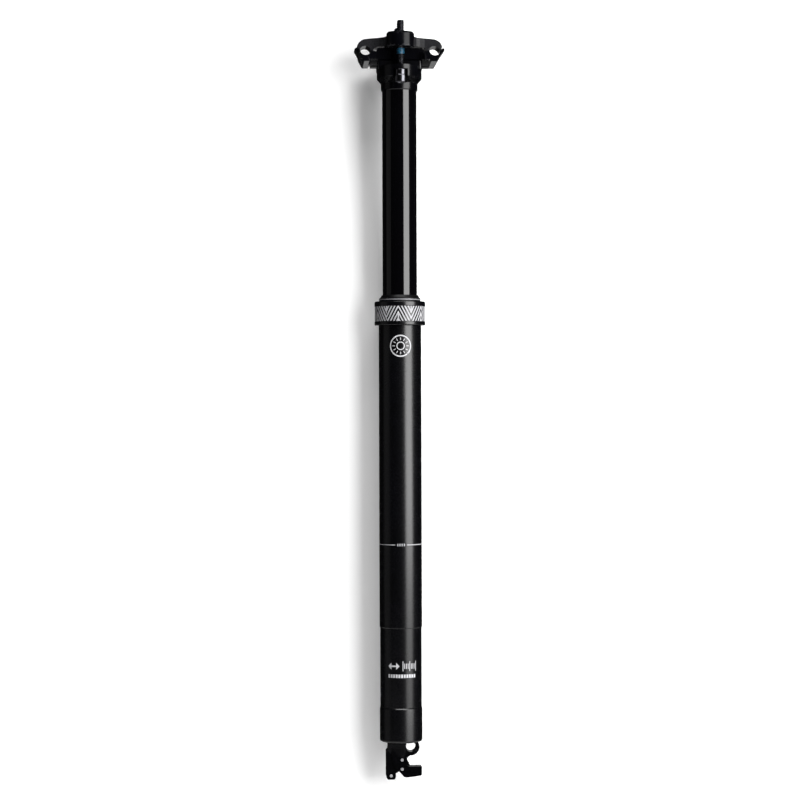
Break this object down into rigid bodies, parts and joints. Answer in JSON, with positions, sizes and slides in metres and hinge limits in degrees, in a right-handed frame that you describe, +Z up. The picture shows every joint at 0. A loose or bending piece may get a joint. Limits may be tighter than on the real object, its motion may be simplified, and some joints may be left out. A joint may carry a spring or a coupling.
{
  "type": "dropper seatpost",
  "caption": "Telescoping bicycle seatpost with a two-bolt rail clamp, a hatched collar and a cable lever at the foot; the inner post slides down and stops where it is locked.",
  "frame": {"origin": "on the tube axis at the underside of the collar, where the seat tube of a frame ends", "axes": "+Z up along the tube axis towards the saddle, saddle rails along Y, +X to the side on which the cable hook opens"},
  "size_m": [0.0576, 0.0452, 0.4833],
  "materials": {
    "tube_black": "satin black anodised",
    "collar_black": "semi-gloss black anodised",
    "hatch_silver": "bright machined ribs",
    "rubber_black": "matt rubber",
    "bright_ring": "bright steel",
    "bushing_grey": "self-lubricating liner",
    "steel": "ground steel",
    "inner_aluminium": "machined",
    "brass": "machined",
    "stanchion_black": "gloss black hard anodised",
    "head_black": "satin black anodised forging",
    "clamp_black": "satin black anodised forging",
    "bolt_steel": "black oxide",
    "threadlock_blue": "dried patch",
    "actuator_black": "semi-gloss black anodised",
    "print_grey": "printed marks"
  },
  "bodies": {
    "lower": {"outer_tube": "tube_black", "collar": "collar_black", "collar_o_ring": "rubber_black", "wiper_seal": "rubber_black", "wiper_ring": "bright_ring", "upper_bushing": "bushing_grey", "bottom_cap": "tube_black", "cartridge_rod": "steel", "main_piston": "inner_aluminium", "piston_seal": "rubber_black", "piston_nut": "steel", "actuator_bracket": "actuator_black", "guide_pin": "steel", "pivot_pin": "steel", "valve_spring": "steel"},
    "upper": {"stanchion": "stanchion_black", "guide_bushing": "bushing_grey", "anti_rotation_keys": "brass", "cartridge_nut": "inner_aluminium", "cartridge_cylinder": "inner_aluminium", "cylinder_gland": "inner_aluminium", "gland_seal": "rubber_black", "cylinder_head": "inner_aluminium", "head_forging": "head_black", "clamp_bolts": "bolt_steel", "bolt_washers": "bolt_steel"},
    "float_piston": {"floating_piston": "inner_aluminium", "floating_seal": "rubber_black"},
    "clamp": {"lower_cradle": "clamp_black", "upper_clamp": "clamp_black"},
    "nut_front": {"front_barrel_nut": "bolt_steel"},
    "nut_rear": {"rear_barrel_nut": "bolt_steel"},
    "lever": {"lever_arm": "actuator_black", "lever_roller": "steel", "roller_pin": "steel"},
    "valve": {"plunger": "steel", "release_pin": "steel"}
  },
  "joints": [
    {"name": "post_travel", "type": "slide", "parent": "lower", "child": "upper", "axis": [0, 0, -1], "range_m": [0, 0.125]},
    {"name": "float_piston_slide", "type": "slide", "parent": "upper", "child": "float_piston", "axis": [0, 0, 1], "range_m": [0, 0.0293]},
    {"name": "clamp_tilt", "type": "hinge", "parent": "upper", "child": "clamp", "pos_m": [0, 0, 0.18], "axis": [1, 0, 0], "range_deg": [-8, 8]},
    {"name": "front_nut_turn", "type": "hinge", "parent": "clamp", "child": "nut_front", "pos_m": [0, -0.0163, 0.18], "axis": [1, 0, 0], "range_deg": [-8.05, 8.05]},
    {"name": "rear_nut_turn", "type": "hinge", "parent": "clamp", "child": "nut_rear", "pos_m": [0, 0.0163, 0.18], "axis": [1, 0, 0], "range_deg": [-8.05, 8.05]},
    {"name": "lever_pivot", "type": "hinge", "parent": "lower", "child": "lever", "pos_m": [-0.0067, 0, -0.2879], "axis": [0, -1, 0], "range_deg": [0, 17]},
    {"name": "valve_slide", "type": "slide", "parent": "lower", "child": "valve", "axis": [0, 0, 1], "range_m": [0, 0.00191], "stiffness_N_per_m": 400, "springref_m": -0.0012, "deforming": ["valve_spring"]}
  ],
  "couplings": [
    {"joint": "float_piston_slide", "follows": "post_travel", "ratio": 0.233},
    {"joint": "front_nut_turn", "follows": "clamp_tilt", "ratio": -1},
    {"joint": "rear_nut_turn", "follows": "clamp_tilt", "ratio": -1},
    {"joint": "lever_pivot", "follows": "valve_slide", "rad_per_m": 155}
  ]
}
